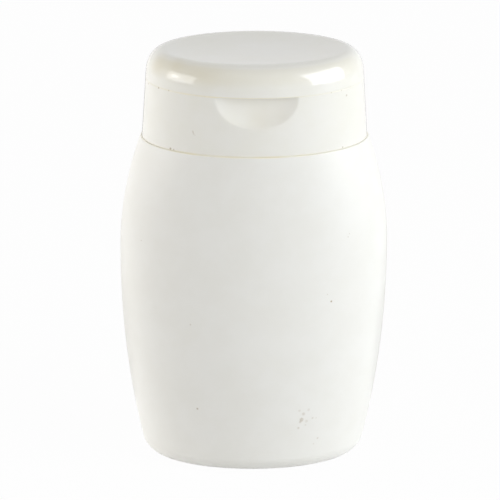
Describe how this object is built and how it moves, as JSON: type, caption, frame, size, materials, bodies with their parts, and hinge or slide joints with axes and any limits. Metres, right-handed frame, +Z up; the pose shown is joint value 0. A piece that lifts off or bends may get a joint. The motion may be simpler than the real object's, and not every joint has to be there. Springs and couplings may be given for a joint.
{
  "type": "lotion bottle",
  "caption": "Oval squeeze bottle with a pressed-on flip-top closure; the lid swings back on a snap hinge to open a spout.",
  "frame": {"origin": "on the surface the bottle stands on, under the middle of its base", "axes": "+Z up, X along the wide side of the oval, -Y towards the front with the thumb recess, +Y towards the hinge"},
  "size_m": [0.06, 0.0364, 0.0958],
  "materials": {
    "bottle_plastic": "satin blow-moulded polyethylene",
    "closure_plastic": "gloss injection-moulded polypropylene"
  },
  "bodies": {
    "bottle": {"bottle_body": "bottle_plastic", "closure_base": "closure_plastic", "hinge_film_left": "closure_plastic", "hinge_film_right": "closure_plastic"},
    "lid": {"lid": "closure_plastic"},
    "spring_band": {"hinge_spring_band": "closure_plastic"}
  },
  "joints": [
    {"name": "lid_hinge", "type": "hinge", "parent": "bottle", "child": "lid", "pos_m": [0, 0.01465, 0.08915], "axis": [-1, 0, 0], "range_deg": [0, 120], "deforming": ["hinge_film_left", "hinge_film_right"]},
    {"name": "band_swing", "type": "hinge", "parent": "bottle", "child": "spring_band", "pos_m": [0, 0.01292, 0.08615], "axis": [-1, 0, 0], "range_deg": [0, 60]}
  ],
  "couplings": [
    {"joint": "band_swing", "follows": "lid_hinge", "ratio": 0.5}
  ]
}
